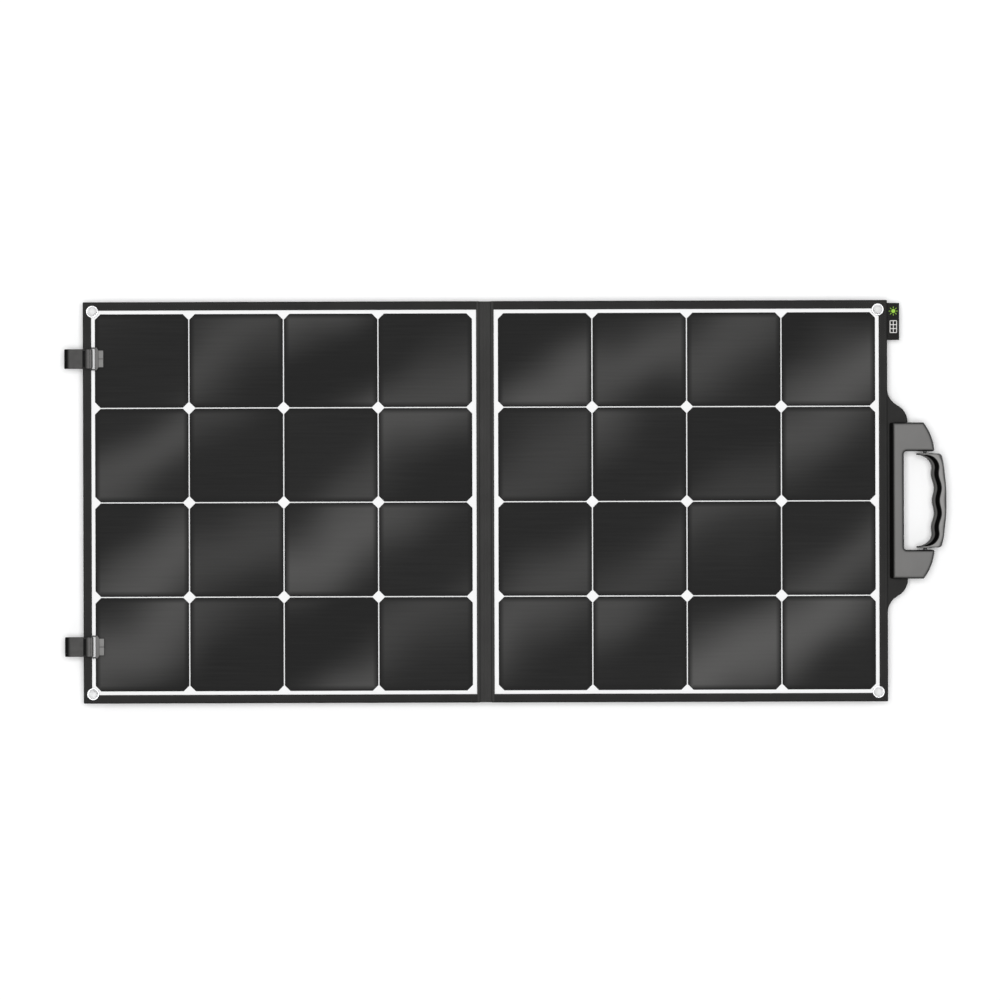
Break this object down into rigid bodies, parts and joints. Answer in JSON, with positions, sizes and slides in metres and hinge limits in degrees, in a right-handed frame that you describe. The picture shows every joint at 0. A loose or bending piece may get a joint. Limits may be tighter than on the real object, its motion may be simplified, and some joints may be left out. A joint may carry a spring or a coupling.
{
  "type": "folding solar panel",
  "caption": "Folding portable solar panel with two wings of cells, fabric spine, carrying handle, closing straps, rear stands and pockets.",
  "frame": {"origin": "under the middle of the whole object, on the surface it lies on, cells up", "axes": "+X towards the carrying handle, +Y towards the edge with the side tag, +Z out of the lit face"},
  "size_m": [1.1878, 0.541, 0.0257],
  "materials": {
    "fabric": "matte woven polyester",
    "webbing": "ribbed webbing",
    "foam": "closed-cell foam",
    "stiffener": "fibre board",
    "backsheet": "smooth white laminate",
    "cell": "satin film over silicon",
    "eyelet": "polished",
    "ribbon": "tinned strip",
    "pad": "soft black",
    "handle_plastic": "satin grey",
    "grip_rubber": "soft dark",
    "screw": "dark",
    "pin": "dark",
    "box_plastic": "fine texture",
    "zip": "moulded teeth",
    "zip_metal": "gunmetal",
    "buckle": "satin grey"
  },
  "bodies": {
    "right_wing": {"right_back_cover": "fabric", "right_foam": "foam", "right_stiffener": "stiffener", "right_laminate": "backsheet", "right_cells": "cell", "right_front_cover": "fabric", "right_eyelets": "eyelet", "right_stand_hinge": "webbing", "right_stand_anchor": "webbing", "handle_flap": "fabric", "handle_plate": "stiffener", "handle_pad_front": "pad", "handle_pad_back": "pad", "bracket_front": "handle_plastic", "bracket_back": "handle_plastic", "bracket_screws": "screw", "pivot_pins": "pin", "side_tag": "fabric", "junction_box": "box_plastic", "junction_lid": "box_plastic", "junction_screws": "screw", "output_gland": "box_plastic", "cable_pocket": "fabric", "cable_zip": "zip", "strap_catches": "buckle"},
    "spine": {"spine_fabric": "fabric", "spine_ribbon": "ribbon"},
    "left_wing": {"left_back_cover": "fabric", "left_foam": "foam", "left_stiffener": "stiffener", "left_laminate": "backsheet", "left_cells": "cell", "left_front_cover": "fabric", "left_eyelets": "eyelet", "left_stand_hinge": "webbing", "left_stand_anchor": "webbing", "accessory_pocket": "fabric", "accessory_zip": "zip", "upper_strap_root": "webbing", "lower_strap_root": "webbing"},
    "handle_grip": {"grip_front": "handle_plastic", "grip_back": "handle_plastic", "grip_insert": "grip_rubber", "grip_screws": "screw"},
    "cable_zip_slider": {"cable_slider": "zip_metal"},
    "cable_zip_puller": {"cable_puller": "zip_metal"},
    "accessory_zip_slider": {"accessory_slider": "zip_metal"},
    "accessory_zip_puller": {"accessory_puller": "zip_metal"},
    "right_stand": {"right_stand_board": "stiffener", "right_stand_cover": "fabric"},
    "right_stay_top": {"right_stay_upper": "webbing"},
    "right_stay_bottom": {"right_stay_lower": "webbing"},
    "left_stand": {"left_stand_board": "stiffener", "left_stand_cover": "fabric"},
    "left_stay_top": {"left_stay_upper": "webbing"},
    "left_stay_bottom": {"left_stay_lower": "webbing"},
    "upper_closing_strap": {"upper_strap": "webbing"},
    "upper_strap_buckle": {"upper_buckle": "buckle"},
    "lower_closing_strap": {"lower_strap": "webbing"},
    "lower_strap_buckle": {"lower_buckle": "buckle"}
  },
  "joints": [
    {"name": "spine_fold_right", "type": "hinge", "parent": "right_wing", "child": "spine", "pos_m": [-0.0199, 0, 0.015], "axis": [0, 1, 0], "range_deg": [0, 90]},
    {"name": "spine_fold_left", "type": "hinge", "parent": "spine", "child": "left_wing", "pos_m": [-0.0339, 0, 0.015], "axis": [0, 1, 0], "range_deg": [0, 90]},
    {"name": "grip_swing", "type": "hinge", "parent": "right_wing", "child": "handle_grip", "pos_m": [0.56575, 0, 0.014], "axis": [0, 1, 0], "range_deg": [-90, 90]},
    {"name": "right_stand_hinge", "type": "hinge", "parent": "right_wing", "child": "right_stand", "pos_m": [0.24763, 0.15, 0.0085], "axis": [1, 0, 0], "range_deg": [0, 50]},
    {"name": "right_stay_top_hinge", "type": "hinge", "parent": "right_wing", "child": "right_stay_top", "pos_m": [0.24763, -0.1, 0.0092], "axis": [1, 0, 0], "range_deg": [0, 115]},
    {"name": "right_stay_knee", "type": "hinge", "parent": "right_stay_top", "child": "right_stay_bottom", "pos_m": [0.24763, -0.2057, 0.0077], "axis": [1, 0, 0], "range_deg": [-180, 0]},
    {"name": "left_stand_hinge", "type": "hinge", "parent": "left_wing", "child": "left_stand", "pos_m": [-0.30142, 0.15, 0.0085], "axis": [1, 0, 0], "range_deg": [0, 50]},
    {"name": "left_stay_top_hinge", "type": "hinge", "parent": "left_wing", "child": "left_stay_top", "pos_m": [-0.30142, -0.1, 0.0092], "axis": [1, 0, 0], "range_deg": [0, 115]},
    {"name": "left_stay_knee", "type": "hinge", "parent": "left_stay_top", "child": "left_stay_bottom", "pos_m": [-0.30142, -0.2057, 0.0077], "axis": [1, 0, 0], "range_deg": [-180, 0]},
    {"name": "cable_zip_slide", "type": "slide", "parent": "right_wing", "child": "cable_zip_slider", "axis": [0, -1, 0], "range_m": [0, 0.24]},
    {"name": "cable_puller_swing", "type": "hinge", "parent": "cable_zip_slider", "child": "cable_zip_puller", "pos_m": [0.36988, 0.122, 0.005], "axis": [0, 0, -1], "range_deg": [0, 60]},
    {"name": "accessory_zip_slide", "type": "slide", "parent": "left_wing", "child": "accessory_zip_slider", "axis": [0, -1, 0], "range_m": [0, 0.24]},
    {"name": "accessory_puller_swing", "type": "hinge", "parent": "accessory_zip_slider", "child": "accessory_zip_puller", "pos_m": [-0.42368, 0.122, 0.005], "axis": [0, 0, 1], "range_deg": [0, 60]},
    {"name": "upper_strap_fold", "type": "hinge", "parent": "left_wing", "child": "upper_closing_strap", "pos_m": [-0.59095, 0.194, 0.017], "axis": [0, -1, 0], "range_deg": [0, 180]},
    {"name": "upper_buckle_swing", "type": "hinge", "parent": "upper_closing_strap", "child": "upper_strap_buckle", "pos_m": [-0.55795, 0.194, 0.0207], "axis": [0, -1, 0], "range_deg": [0, 110]},
    {"name": "lower_strap_fold", "type": "hinge", "parent": "left_wing", "child": "lower_closing_strap", "pos_m": [-0.59095, -0.194, 0.017], "axis": [0, -1, 0], "range_deg": [0, 180]},
    {"name": "lower_buckle_swing", "type": "hinge", "parent": "lower_closing_strap", "child": "lower_strap_buckle", "pos_m": [-0.55795, -0.194, 0.0207], "axis": [0, -1, 0], "range_deg": [0, 110]}
  ],
  "couplings": [
    {"joint": "right_stay_top_hinge", "follows": "right_stand_hinge", "ratio": 2.3},
    {"joint": "right_stay_knee", "follows": "right_stand_hinge", "ratio": -3.6},
    {"joint": "left_stay_top_hinge", "follows": "left_stand_hinge", "ratio": 2.3},
    {"joint": "left_stay_knee", "follows": "left_stand_hinge", "ratio": -3.6}
  ]
}
